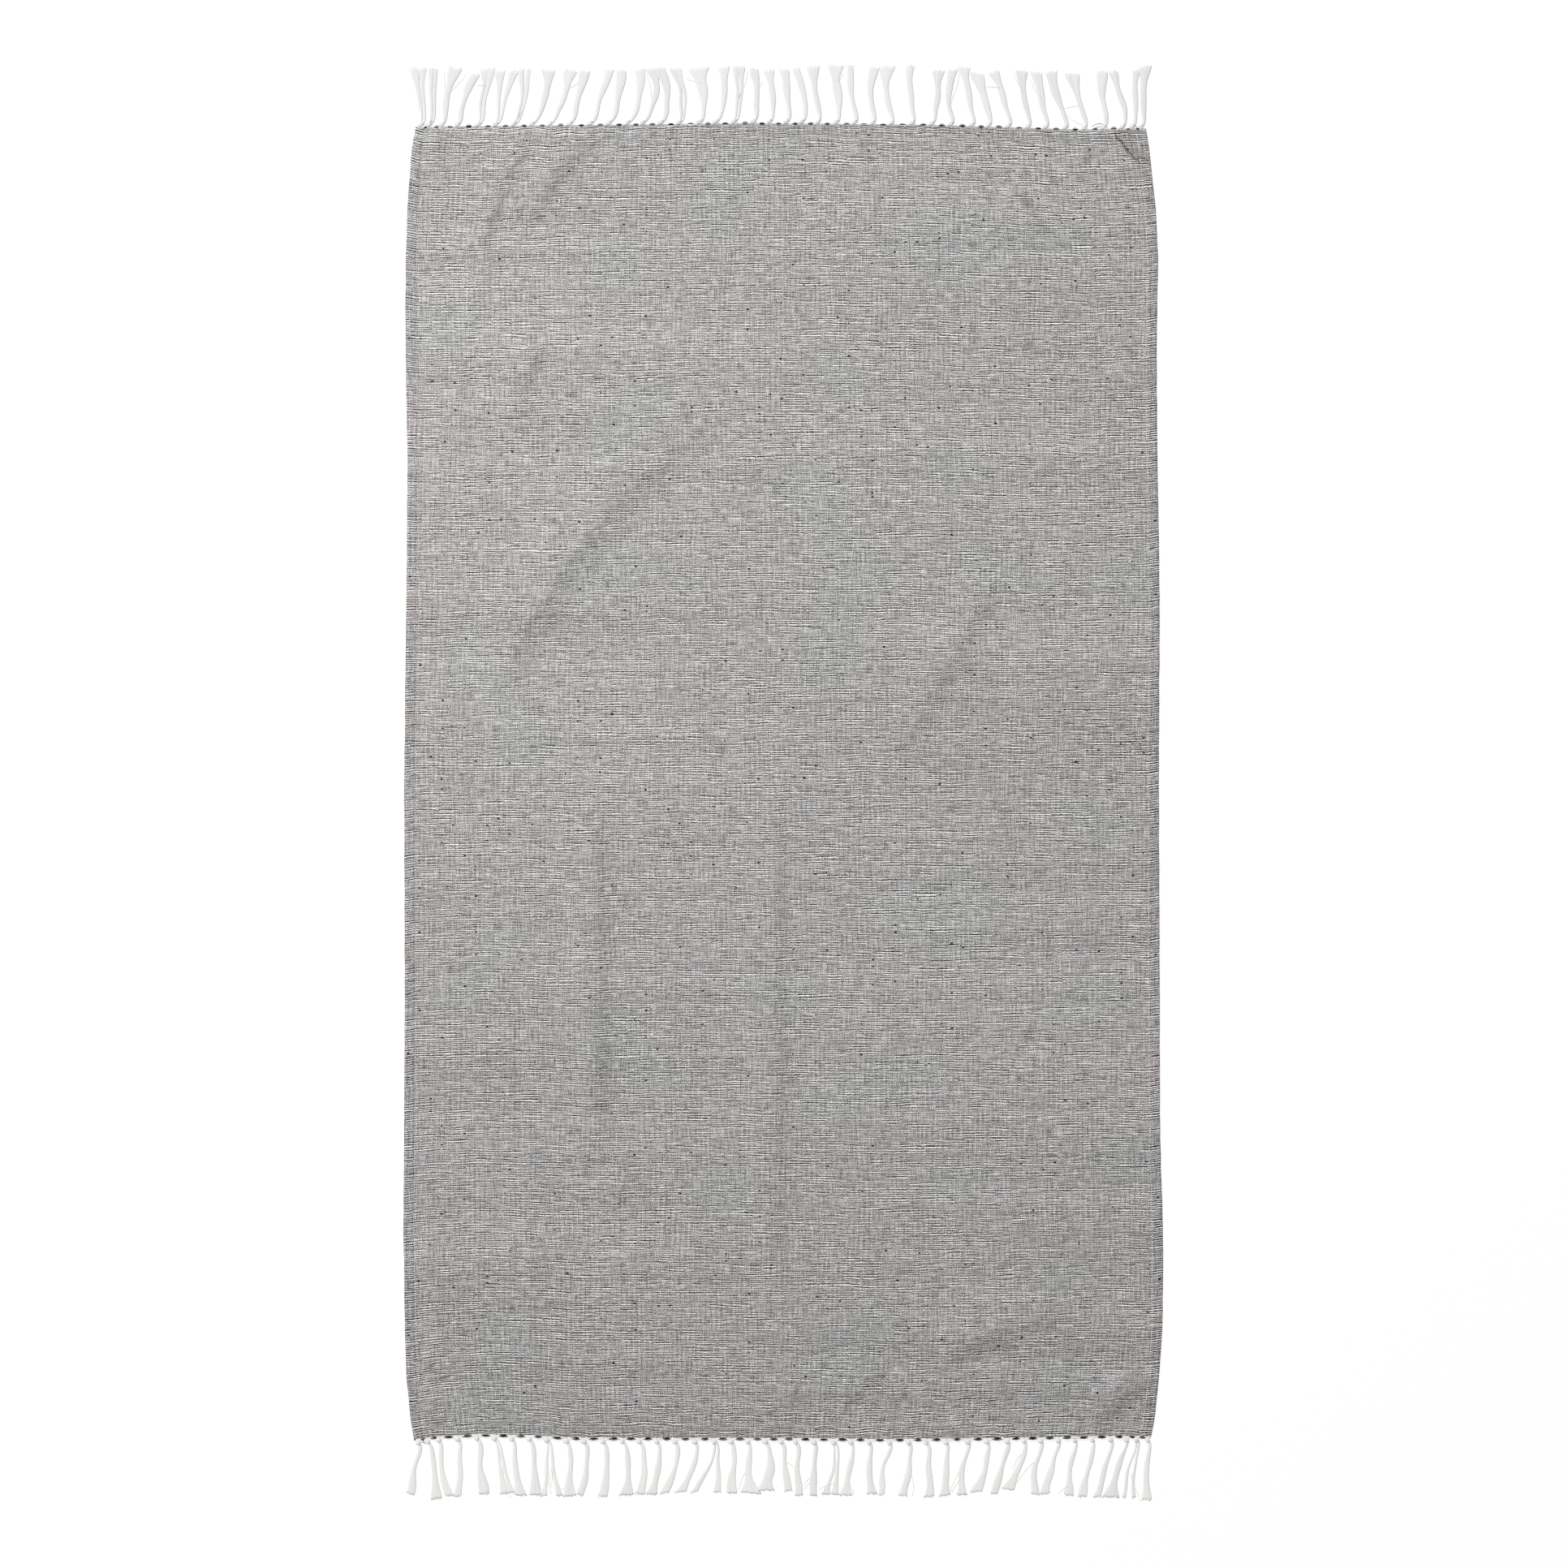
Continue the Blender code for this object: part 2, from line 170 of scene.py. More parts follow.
BOTTOM_STRAYS = table(
    Stray,
    (6, 0.5, -360, -939, -2), (9, 0.48, -307, -926, 3), (9, 0.62, -306, -935, -2),
    (10, 0.86, -293, -928, 0.5), (20, 0.5, -59, -930, -2), (22, 0.4, 15, -901, 2),
    (24, 0.62, 27, -924, -2), (24, 0.7, 27, -929, -1), (25, 0.78, 47, -929, -1),
    (26, 0.72, 93, -935, 1.5), (28, 0.88, 129, -936, 0.5), (29, 0.45, 171, -937, 2.5),
    (32, 0.45, 220, -932, -2), (32, 0.66, 222, -933, -1), (35, 0.22, 304, -903, -4),
    (36, 0.35, 308, -920, -3), (38, 0.82, 363, -934, -1), (42, 0.58, 472, -945, -2),
)

# Dark weft yarn that has slipped out at an end: where it starts and ends, and how far it bows upwards.
LooseWeft = namedtuple("LooseWeft", "x0 y0 x1 y1 bow")
LOOSE_WEFT = table(
    LooseWeft,
    (406, 866, 428, 865, 5), (410, 864, 424, 864, 2.5), (455, 862, 468, 864, 4.5),
    (459, 863, 466, 862, 2), (-468, 869, -462, 874, 1), (-479, -862, -472, -869, 1.5),
    (-477, -866, -470, -864, -2),
)

# The dark weft that shows where the warp has parted between two knots, row by row in from the edge: how
# far in, half the width, and the yarn's radius.
GapRow = namedtuple("GapRow", "depth half radius")
TOP_GAP_ROWS = table(GapRow, (0.4, 4.4, 0.55), (1.2, 3, 0.55), (2, 1.5, 0.5))
BOTTOM_GAP_ROWS = table(GapRow, (-0.3, 6.2, 0.65), (0.7, 5, 0.65), (1.7, 3.4, 0.6), (2.6, 1.8, 0.55))

# An end of the towel: the way it faces, its edge, tassels and strays, how deep its scallops are, how much
# shorter its tassels are cut than in the table, how much narrower a fan is than the space beside its knot,
# the rows of weft in its gaps, the fewest in one, how dark they are, how far loose picks bow out past the
# edge (0 where there are none), and the seeds of its fringe and its weft.
End = namedtuple("End", "name toward edge tassels strays scallop trim fan_gap rows fewest tones bow seeds")
TOP = End(
    name="top", toward=1, edge=TOP_EDGE, tassels=TOP_TASSELS, strays=TOP_STRAYS, scallop=1.6, trim=1.7,
    fan_gap=2.4, rows=TOP_GAP_ROWS, fewest=1, tones=(0.04, 0.2, 0.5), bow=2.1, seeds=(3, 5),
)
BOTTOM = End(
    name="bottom", toward=-1, edge=BOTTOM_EDGE, tassels=BOTTOM_TASSELS, strays=BOTTOM_STRAYS, scallop=0.7,
    trim=3.7, fan_gap=3.8, rows=BOTTOM_GAP_ROWS, fewest=3, tones=(0.02, 0.08, 0.28), bow=0, seeds=(4, 6),
)


def column(rows, field):
    return np.array([getattr(row, field) for row in rows], float)


def sine(turns):
    """A wave from -1 to 1 that repeats with each whole turn."""
    return np.sin(2 * np.pi * turns)


def both_sides(rows, y):
    """What a table says of the left and of the right side, at places along the towel."""
    places = column(rows, "y")
    return np.interp(y, places, column(rows, "left")), np.interp(y, places, column(rows, "right"))


def end_reach(end, x):
    """How far the cloth's edge lies from the middle of the towel, at places across it."""
    return np.interp(x, *np.transpose(end.edge))


def lock_x(tassel, side, along):
    """How far across the towel a lock's middle lies, at shares of its length."""
    apart = SPLIT_APART + (tassel.split / 2 - SPLIT_APART) * along**SPLIT_POWER
    strides = along * tassel.length / SWING_OUT
    swing = ROOT_SWING * strides * np.exp(1 - strides)
    return tassel.knot + tassel.lean * along + tassel.bow * np.sin(np.pi * along) + swing + side * apart


# ---- Meshes ----------------------------------------------

BAKE_MAP = "OFBake"
CUT_MAP = "cut"
PAINTED_SHADE_ATTRIBUTE = "pressed"


def add_piece(name, points, faces, maps, material):
    """Makes a piece from points, quads and, for each map, a place per corner."""
    mesh = bpy.data.meshes.new(name)
    mesh.from_pydata((points * MM).tolist(), [], faces.tolist())
    for map_name, places in maps.items():
        mesh.uv_layers.new(name=map_name).uv.foreach_set("vector", places.astype(np.float32).ravel())
    mesh.shade_smooth()
    mesh.materials.append(material)
    piece = bpy.data.objects.new(name, mesh)
    bpy.context.scene.collection.objects.link(piece)
    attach(piece, "root")
    return piece


# ---- The cloth -------------------------------------------

# How far in from a side and from an end the mesh has its first lines, and the size of its cells beyond.
SIDE_STOPS = (0.0, 0.7, 1.8, 4.0, 7.5, 11.0, 13.0, 14.0, 15.0, 17.0, 20.0)
END_STOPS = (0.0, 1.5, 3.5, 6.0, 9.0, 12.5, 16.5, 21.0, 26.0)
CELL = 6.4
CHART_HALF = 0.499

# The cloth's thickness by the distance from a side: the rolled edge, the hem and its sewn line. And its
# share of that by the distance from an end.
HEM_PLACES = (0.0, 0.7, 1.8, 4.0, 11.0, 13.0, 14.0, 15.0, 17.0)
HEM_HEIGHTS = (1.3, 2.0, 2.4, HEM_THICK, HEM_THICK, 2.2, 1.25, 1.35, CLOTH_THICK)
END_PLACES = (0.0, 3.5)
END_SHARES = (0.7, 1.0)

# Smooth noise over the cloth: how far it goes either way, the size of its cells, and its layer.
Wave = namedtuple("Wave", "size across along layer")

# How the pull of the knots shows in the cloth: the edge scallops and puckers between them.
PULL_REACH = 12.0
SCALLOP_DEPTH = 5.0
PUCKER = Wave(1.2, 13, 60, 4)
PUCKER_LIFT = 0.8
PUCKER_HIGH = 0.8
PUCKER_DEPTH = 20.0

# The faint ripples, and the side edges, which wave in and out and lie closer to the floor.
RIPPLE_HIGH = 0.45
RIPPLE = Wave(1.0, 75, 95, 2)
SMALL_RIPPLE = Wave(0.5, 30, 36, 3)
EDGE_WAVE = Wave(0.5, 24, 400, 1)
EDGE_WAVE_DEPTH = 12.0
SIDE_LIFT = 0.25
SIDE_DEPTH = 16.0

# How the threads stray: the weft everywhere, at the ends and with the folds, and the warp.
WEFT_SWAY = Wave(1.3, 105, 80, 5)
WEFT_FLUTTER = Wave(0.8, 34, 44, 6)
END_FLUTTER = Wave(2.6, 21, 70, 7)
END_FLUTTER_DEPTH = 42.0
FOLD_DRAG = 0.18
WARP_SWAY = Wave(0.8, 60, 60, 8)

# How steeply a fold comes up at its two ends, and where its crease's painted shade lies and half its width.
FOLD_RISE = 1.7
CREASE_ASIDE = 11.0
CREASE_WIDE = 6.5

# How the weft slants in the left and in the right hem.
HEM_SLANTS = table(
    Side,
    (-860, 0.1, -0.1), (-570, 0.1, -0.15), (-143, 0.2, -0.15), (285, 0.0, -0.15), (600, -0.1, -0.15),
    (860, -0.3, -0.1),
)


def stops_between(half, edge_stops):
    """Places from -half to half, close together near both edges and about a cell apart between them."""
    edge = np.array(edge_stops)
    inner = half - edge[-1]
    middle = np.linspace(-inner, inner, round(2 * inner / CELL) + 1)[1:-1]
    return np.concatenate([edge - half, middle, (half - edge)[::-1]])


def waves(x, y, wave):
    """Smooth noise at places on the cloth."""
    places = zip(np.ravel(x) / wave.across, np.ravel(y) / wave.along)
    values = [noise.noise(Vector((u, v, wave.layer + 0.5))) for u, v in places]
    return wave.size * np.reshape(values, np.shape(x))


def folds_at(x, y):
    """How high the folds lift the cloth at places on the floor, and how dark the painted shade of their
    creases is.
    """
    height, pressed = np.zeros_like(x), np.zeros_like(x)
    for fold in FOLDS + SMALL_FOLDS:
        run = np.array((fold.x1 - fold.x0, fold.y1 - fold.y0))
        length = np.hypot(*run)
        run = run / length
        lower_right = np.array((run[1], -run[0]))
        if lower_right[0] - lower_right[1] < 0:
            lower_right = -lower_right
        along = ((x - fold.x0) * run[0] + (y - fold.y0) * run[1]) / length
        inside = np.clip(along, 0, 1)
        aside = (x - fold.x0) * lower_right[0] + (y - fold.y0) * lower_right[1]
        aside -= fold.bend * 4 * inside * (1 - inside)
        reach = np.abs(aside) / np.where(aside > 0, fold.wide_lower, fold.wide_upper)
        fade = np.sqrt(np.clip(FOLD_RISE * np.sin(np.pi * inside), 0, 1))
        height = np.maximum(height, fold.high * fade * np.clip(1 - reach**2, 0, 1) ** 2)
        crease = fold.pressed * fade * np.exp(-(((aside - CREASE_ASIDE) / CREASE_WIDE) ** 2))
        pressed = np.maximum(pressed, crease * (along == inside))
    return height, pressed


def between_knots(end, x):
    """From 0 at a knot to 1 midway between two."""
    nearest = np.abs(x[..., None] - column(end.tassels, "knot")).min(-1)
    return np.clip(nearest / PULL_REACH, 0, 1)


def lay(x_cut, y_cut):
    """Lays places of the flat cut on the floor: (x, y, the cloth's underside, its top)."""
    side_gap = HALF_WIDTH - np.abs(x_cut)
    end_gap = HALF_LENGTH - np.abs(y_cut)
    upper = y_cut > 0
    left, right = both_sides(SIDES, y_cut)
    x = (left + right) * (x_cut / HALF_WIDTH + 1) / 2 - left
    reach = np.where(upper, end_reach(TOP, x), end_reach(BOTTOM, x))
    y = y_cut / HALF_LENGTH * reach

    pull = np.where(upper, between_knots(TOP, x), between_knots(BOTTOM, x)) - 0.5
    scallop = np.where(upper, TOP.scallop, -BOTTOM.scallop) * pull * np.exp(-end_gap / SCALLOP_DEPTH)
    edge_wave = waves(y, x, EDGE_WAVE) * np.exp(-side_gap / EDGE_WAVE_DEPTH)
    height = folds_at(x, y)[0]
    height += RIPPLE_HIGH * (1 + waves(x, y, RIPPLE) + waves(x, y, SMALL_RIPPLE))
    pucker = pull + waves(x, y, PUCKER)
    height += PUCKER_HIGH * np.exp(-end_gap / PUCKER_DEPTH) * (PUCKER_LIFT + pucker)
    height = np.maximum(height, 0) * np.clip(SIDE_LIFT + side_gap / SIDE_DEPTH, 0, 1)
    thickness = np.interp(side_gap, HEM_PLACES, HEM_HEIGHTS) * np.interp(end_gap, END_PLACES, END_SHARES)
    return x + edge_wave, y + scallop, height, height + thickness


def cut_places(x_cut, y_cut):
    """Where the threads run: the flat cut, swayed as the photographed weft is."""
    end_gap = HALF_LENGTH - np.abs(y_cut)
    sway = waves(x_cut, y_cut, WEFT_SWAY)
    sway += waves(x_cut, y_cut, WEFT_FLUTTER)
    sway += waves(x_cut, y_cut, END_FLUTTER) * np.exp(-end_gap / END_FLUTTER_DEPTH)
    sway += FOLD_DRAG * folds_at(x_cut, y_cut)[0]
    return np.stack([x_cut + waves(x_cut, y_cut, WARP_SWAY), y_cut + sway], -1)


def weave_cloth(material):
    """The sheet in the photograph's folds: a top and an underside, closed round the rim."""
    x_cut, y_cut = np.meshgrid(stops_between(HALF_WIDTH, SIDE_STOPS), stops_between(HALF_LENGTH, END_STOPS))
    rows, columns = x_cut.shape
    x, y, low, high = lay(x_cut, y_cut)
    points = np.concatenate([np.stack([x, y, z], -1).reshape(-1, 3) for z in (low, high)])

    under = np.arange(rows * columns).reshape(rows, columns)
    quads = np.stack([under[:-1, :-1], under[:-1, 1:], under[1:, 1:], under[1:, :-1]], -1).reshape(-1, 4)
    top = rows * columns

    # On the maps, the rim's quads lie just inside the edge.
    rim = np.concatenate([under[0, :-1], under[:-1, -1], under[-1, :0:-1], under[:0:-1, 0]])
    row, place = np.divmod(rim, columns)
    inward = np.clip(row, 1, rows - 2) * columns + np.clip(place, 1, columns - 2)
    after = np.roll(rim, -1)
    rim_quads = np.stack([rim, after, after + top, rim + top], -1)
    rim_corners = np.stack([inward, np.roll(inward, -1), after, rim], -1)

    faces = np.concatenate([quads[:, ::-1], quads + top, rim_quads])
    corners = np.concatenate([quads[:, ::-1], quads, rim_corners])
    chart = np.stack([x_cut / HALF_WIDTH, y_cut / HALF_LENGTH], -1).reshape(-1, 2) * CHART_HALF + 0.5
    cut = cut_places(x_cut, y_cut).reshape(-1, 2)[corners]
    x_corner, y_corner = x_cut.ravel()[corners], y_cut.ravel()[corners]
    hem_depth = HEM_WIDE - (HALF_WIDTH - np.abs(x_corner))
    slant = np.where(x_corner < 0, *both_sides(HEM_SLANTS, y_corner))
    cut[..., 1] += slant * np.maximum(hem_depth, 0)
    maps = {CUT_MAP: cut * MM, BAKE_MAP: chart[corners]}
    cloth = add_piece("woven_cloth", points, faces, maps, material)
    # The painted shade along the folds' creases, kept on the cloth for its material.
    pressed = cloth.data.attributes.new(PAINTED_SHADE_ATTRIBUTE, "FLOAT", "POINT")
    pressed.data.foreach_set("value", np.tile(folds_at(x, y)[1].ravel(), 2).astype(np.float32))
    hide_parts("towel_cloth")
    return cloth


# ---- Yarn ------------------------------------------------

# The chart of a heap has a strip for each tone. A yarn's two ends lie on a patch of its strip, near the
# start and that far back from the yarn's end.
YARN_TONES = 32
CHART_LENGTH = 95.0
CHART_FIT = (1, 0.98)
STRIP_MARGIN = 0.1
END_PATCH = ((0.2, 0.3), (0.8, 0.3), (0.8, 1.2), (0.2, 1.2))
END_BACK = 1.5


class YarnHeap:
    """Gathers yarns into one mesh. Each tone has a strip of its chart."""

    def __init__(self):
        self.points = []
        self.faces = []
        self.chart = []
        self.count = 0

    def skin(self, rings, tones, strip_faces, closed=False):
        """Wraps quads round rings of points (steps, around, 3). Each face round has a tone, and a strip of
        the chart is as wide as strip_faces of them."""
        number, sides = rings.shape[:2]
        steps = np.arange(number if closed else number - 1)[:, None]
        around = np.arange(sides)
        following = (around + 1) % sides
        after = (steps + 1) % number
        corners = [steps * sides + around, after * sides + around]
        corners += [after * sides + following, steps * sides + following]
        quads = np.stack(corners, -1).reshape(-1, 4)

        strides = np.linalg.norm(np.diff(rings.mean(1), axis=0), axis=1)
        length = np.concatenate([[0], np.cumsum(strides)])
        length = np.append(length, length[-1] + 1)
        strip = np.floor(np.broadcast_to(tones, sides) * YARN_TONES)
        part = around % strip_faces / strip_faces
        wide = 1 - 2 * STRIP_MARGIN
        left, near = np.broadcast_arrays(strip + STRIP_MARGIN + wide * part, length[steps])
        right, far = np.broadcast_arrays(left + wide / strip_faces, length[steps + 1])
        places = [(left, near), (left, far), (right, far), (right, near)]
        chart = np.stack([np.stack(place, -1) for place in places], -2).reshape(-1, 4, 2)
        if not closed:
            pair = np.arange(sides // 2 - 1)
            caps = np.stack([pair, pair + 1, sides - 2 - pair, sides - 1 - pair], -1)
            quads = np.concatenate([quads, caps, caps[:, ::-1] + (number - 1) * sides])
            near_caps = np.array(END_PATCH) + np.stack([strip[pair], 0 * strip[pair]], -1)[:, None]
            chart = np.concatenate([chart, near_caps, near_caps + (0, length[-2] - END_BACK)])
        self.points.append(rings.reshape(-1, 3))
        self.faces.append(quads + self.count)
        self.chart.append((chart * CHART_FIT + (0, 1)) / (YARN_TONES, CHART_LENGTH))
        self.count += number * sides

    def add(self, route, radius, tone, sides=4, rise=None, upright=(0, 0, 1), closed=False):
        """Lays a yarn along a route. Its radius may change along it, and rise is its upright radius."""
        route = np.asarray(route, float)
        number = len(route)
        if closed:
            run = np.roll(route, -1, 0) - np.roll(route, 1, 0)
        else:
            run = np.gradient(route, axis=0)
        side = np.cross(run, upright)
        side /= np.linalg.norm(side, axis=1, keepdims=True)
        up = np.cross(side, run)
        up /= np.linalg.norm(up, axis=1, keepdims=True)
        turn = 2 * np.pi * (np.arange(sides) + 0.5) / sides
        wide = np.broadcast_to(radius, number)[:, None, None]
        high = wide if rise is None else np.broadcast_to(rise, number)[:, None, None]
        ring = np.cos(turn)[:, None] * side[:, None] * wide + np.sin(turn)[:, None] * up[:, None] * high
        self.skin(route[:, None] + ring, tone, sides, closed)

    def make(self, name, material):
        points, faces = np.concatenate(self.points), np.concatenate(self.faces)
        return add_piece(name, points, faces, {BAKE_MAP: np.concatenate(self.chart)}, material)


# ---- The fringes -----------------------------------------

# The width and height of a lock along its length, the share of its flare that it has there, and how much
# fuller the locks at the top and at the bottom are.
LockSection = namedtuple("LockSection", "along wide share high top bottom")
LOCK_SECTIONS = table(
    LockSection,
    (0, 4.4, 0, 2.6, 1.12, 1.03), (0.1, 4.9, 0, 2.4, 1.1, 1.04), (0.25, 5.3, 0.1, 2.1, 1.08, 1.03),
    (0.5, 5.8, 0.18, 1.9, 1.14, 1.04), (0.75, 5.9, 0.36, 1.7, 1.24, 1.14),
    (0.9, 5.9, 0.68, 1.5, 1.3, 1.2), (1, 6, 1, 1.3, 1.2, 1.15),
)

# A lock's skin: how many yarns show side by side on a lone lock and on one of two, how wide one of two is,
# the points for each yarn, and how they lie.
YARNS_ACROSS = 7
SPLIT_YARNS = 5
SPLIT_SHARE = 0.56
POINTS_EACH = 3
LOCK_STEPS = 24
DOME_POWER = 2.8
GROOVE_DEEP = 0.13
EDGE_RISE = 0.3
UNDER_RISE = 0.5

# The cut end: how ragged and how slanted it is, and how deep the notches between its yarns are.
RAGGED = 0.6
TIP_SLANT = 1.3
TIP_NOTCH = 0.55
TIP_STEPS = 5

# A knot: where its middle lies from the root of its tassel, its size, and the yarn wound round it.
KNOT_OUT = 0.2
KNOT_ASIDE = -1.3
KNOT_HALF_WIDE = 4.0
KNOT_HALF_LONG = 3.0
KNOT_HIGH = 4.6
KNOT_WRAPS = 4
WRAP_STEPS = 12
WRAP_RADIUS = 0.9
WRAP_APART = 2.2
PALE_TONES = (0.6, 1)

# Each yarn of a fan leaves the cloth and sweeps along its edge to the knot: how far it still is from the
# knot's middle, how far it has come outwards, and how high above the cloth it lies.
FanStep = namedtuple("FanStep", "aside outward lift")
FAN_PATH = table(FanStep, (1, 0, -0.5), (0.84, 0.45, 0.15), (0.56, 0.78, 0.5), (0.24, 1, 0.9))
FAN_YARNS = 21
FAN_RADIUS = 0.62
FAN_OUT = 1.0
OUTER_SPACE = 14

STRAY_RADIUS = 0.6
STRAY_STEPS = 14
STRAY_TONES = (0.5, 1)


def floor_place(end, tassel, across, out, high):
    """Places on a fringe: across the towel, and out from the root of a tassel."""
    start = end_reach(end, tassel.knot) + STRIP_GAP + STRIP_WIDE
    return np.stack(np.broadcast_arrays(across, end.toward * (start + out), high), -1).astype(float)


def cloth_place(end, x, depth):
    """Places on the cloth's top, at x across the floor and that far in from the edge of an end."""
    y_cut = end.toward * (HALF_LENGTH - depth)
    left, right = both_sides(SIDES, y_cut)
    x_cut = (2 * (x + left) / (left + right) - 1) * HALF_WIDTH
    x, y, _, top = lay(np.clip(x_cut, -HALF_WIDTH, HALF_WIDTH), y_cut)
    return np.stack([x, y, top], -1)


def lay_lock(heap, end, tassel, side, rng):
    """One lock: a soft flat bundle whose skin shows the yarns along it, cut off unevenly."""
    share = SPLIT_SHARE if side else 1.0
    yarns = SPLIT_YARNS if side else YARNS_ACROSS
    fullness = rng.uniform(0.75, 1.5)
    lumps, lump_turn = rng.uniform(0.04, 0.2), rng.random()
    meander, turn = rng.uniform(-1.3, 1.3), rng.random()
    wander, wander_turn = rng.uniform(0.04, 0.12), rng.random()

    def section(along, field):
        return np.interp(along, column(LOCK_SECTIONS, "along"), column(LOCK_SECTIONS, field))

    def shape(along):
        wide = section(along, "wide")
        wide = share * (wide + section(along, "share") ** fullness * (tassel.flare - wide))
        wide = wide * section(along, end.name) * (1 + lumps * sine(1.7 * along + lump_turn))
        bend = meander * sine(1.3 * along + turn) * np.minimum(1, 3 * along)
        return lock_x(tassel, side, along) + bend, wide, math.sqrt(share) * section(along, "high")

    tips = rng.normal(0, RAGGED, yarns) + rng.uniform(-TIP_SLANT, TIP_SLANT) * np.linspace(-1, 1, yarns)
    tips = np.append(np.repeat(tips, POINTS_EACH), tips[-1])
    count = len(tips)
    seam = np.arange(count) % POINTS_EACH == 0
    tips[seam] -= TIP_NOTCH
    slow = np.linspace(0, 1, LOCK_STEPS)[:, None]
    along = slow + tips / tassel.length * slow**3
    middle, wide, high = shape(along)
    aside = np.linspace(1, -1, count)
    bend = wander * sine(0.9 * slow + 0.5 * aside + wander_turn)
    aside = aside + bend * (1 - aside**2)
    dome = np.sqrt(np.clip(1 - np.abs(aside) ** DOME_POWER, 0, 1))
    rim = EDGE_RISE * high
    top = rim + (high - rim - GROOVE_DEEP * seam) * dome
    under = UNDER_RISE * rim * (1 - dome)
    across = middle + end.toward * aside * wide / 2
    out = along * tassel.length
    upper, lower = (floor_place(end, tassel, across, out, lift) for lift in (top, under))
    tones = np.clip(rng.uniform(0.6, 0.95) + rng.normal(0, 0.12, yarns), 0, 0.999)
    each = np.repeat(tones, POINTS_EACH)
    tones = np.concatenate([each, tones[-1:], each[::-1], tones[:1]])
    heap.skin(np.concatenate([upper, lower[:, ::-1]], 1), tones, POINTS_EACH)

    # One yarn leaves the lock near its end and stands a little out of the cut.
    along = np.linspace(rng.uniform(0.78, 0.88), 1 + rng.uniform(0.0, 0.025), TIP_STEPS)
    middle, wide, high = shape(along)
    aside = rng.uniform(-0.9, 0.9) * wide / 2
    across = middle + aside * np.linspace(0.9, rng.uniform(0.9, 1.25), TIP_STEPS)
    lift = np.linspace(UNDER_RISE * high[0], STRAY_RADIUS, TIP_STEPS)
    route = floor_place(end, tassel, across, along * tassel.length, lift)
    heap.add(route, 0.8 * STRAY_RADIUS, rng.uniform(*STRAY_TONES))


def tie_knot(heap, end, tassel, rng):
    """The overhand knot at the root of a tassel: turns of yarn wound round a lump."""
    size = rng.uniform(0.82, 1.12)
    middle = tassel.knot + KNOT_ASIDE
    wide = size * KNOT_HALF_WIDE - WRAP_RADIUS
    high = KNOT_HIGH / 2 - WRAP_RADIUS
    along = np.linspace(-1, 1, 7)
    bulge = np.sqrt(1 - (0.9 * along) ** 2)
    lump = floor_place(end, tassel, middle, KNOT_OUT + KNOT_HALF_LONG * along, KNOT_HIGH / 2)
    tone = rng.uniform(*PALE_TONES)
    heap.add(lump, (wide + 0.6) * bulge, tone, sides=8, rise=(high + 0.6) * bulge)
    lean = rng.uniform(0.15, 0.45)
    turn = 2 * np.pi * np.arange(WRAP_STEPS) / WRAP_STEPS
    for wrap in range(KNOT_WRAPS):
        place = -1 + 2 * (wrap + 0.5) / KNOT_WRAPS
        tight = math.sqrt(1 - 0.7 * place**2)
        tilt = lean + rng.uniform(-0.1, 0.1)
        across = tight * wide * np.cos(turn)
        outward = KNOT_OUT + WRAP_APART * place + tilt * across
        lift = np.maximum(KNOT_HIGH / 2 + tight * high * np.sin(turn), WRAP_RADIUS)
        ring = floor_place(end, tassel, middle + across, outward, lift)
        axis = np.cross(ring[1] - ring[0], ring[4] - ring[0])
        heap.add(ring, WRAP_RADIUS, rng.uniform(*PALE_TONES), sides=6, upright=axis, closed=True)


def fan_out(heap, end, tassel, reach_left, reach_right, rng):
    """The warp of the cloth drawn together into the knot, from both sides of it."""
    for number in range(FAN_YARNS):
        place = -1 + 2 * (number + 0.5) / FAN_YARNS + rng.uniform(-0.04, 0.04)
        width = reach_right if place > 0 else reach_left
        inside = rng.uniform(1.3, 2.3) + 0.4 * abs(place)
        across = tassel.knot + place * width * column(FAN_PATH, "aside")
        out = -inside + (FAN_OUT + inside) * column(FAN_PATH, "outward")
        route = cloth_place(end, across, np.maximum(-out, 0))
        route[:, 1] += end.toward * np.maximum(out, 0)
        route[:, 2] += column(FAN_PATH, "lift")
        heap.add(route, FAN_RADIUS, 0.8 * rng.random())


def loose_yarn(heap, end, tassel, stray, rng):
    """A single yarn that leaves its tassel and ends at a tip of its own."""
    share = np.linspace(0, 1, STRAY_STEPS)
    start_x = lock_x(tassel, 0, stray.leaves)
    start = floor_place(end, tassel, start_x, stray.leaves * tassel.length, 0)
    tip = np.array([stray.tip_x, stray.tip_y, STRAY_RADIUS])
    route = start + (tip - start) * share[:, None]
    wobble = 0.3 * sine(1.5 * share + rng.random())
    route[:, 0] += stray.bow * np.sin(np.pi * share) + wobble
    route[:, 2] = STRAY_RADIUS + 0.9 * (1 - share) ** 3
    heap.add(route, STRAY_RADIUS * np.linspace(1, 0.7, STRAY_STEPS), rng.uniform(*STRAY_TONES))


def make_fringe(name, node, end, material):
    """All the tassels of one end, with what has strayed from them."""
    heap = YarnHeap()
    rng = np.random.default_rng(end.seeds[0])
    spaces = np.concatenate([[OUTER_SPACE], np.diff(column(end.tassels, "knot")), [OUTER_SPACE]])
    reaches = spaces / 2 - end.fan_gap
    tassels = [tassel._replace(length=tassel.length - end.trim) for tassel in end.tassels]
    for tassel, reach_left, reach_right in zip(tassels, reaches, reaches[1:]):
        for side in (-1, 1) if tassel.split else (0,):
            lay_lock(heap, end, tassel, side, rng)
        tie_knot(heap, end, tassel, rng)
        fan_out(heap, end, tassel, reach_left, reach_right, rng)
    for stray in end.strays:
        loose_yarn(heap, end, tassels[stray.number - 1], stray, rng)
    fringe = heap.make(name, material)
    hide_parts(node)
    return fringe


# ---- Loose weft at the ends, and the hems' sewing --------

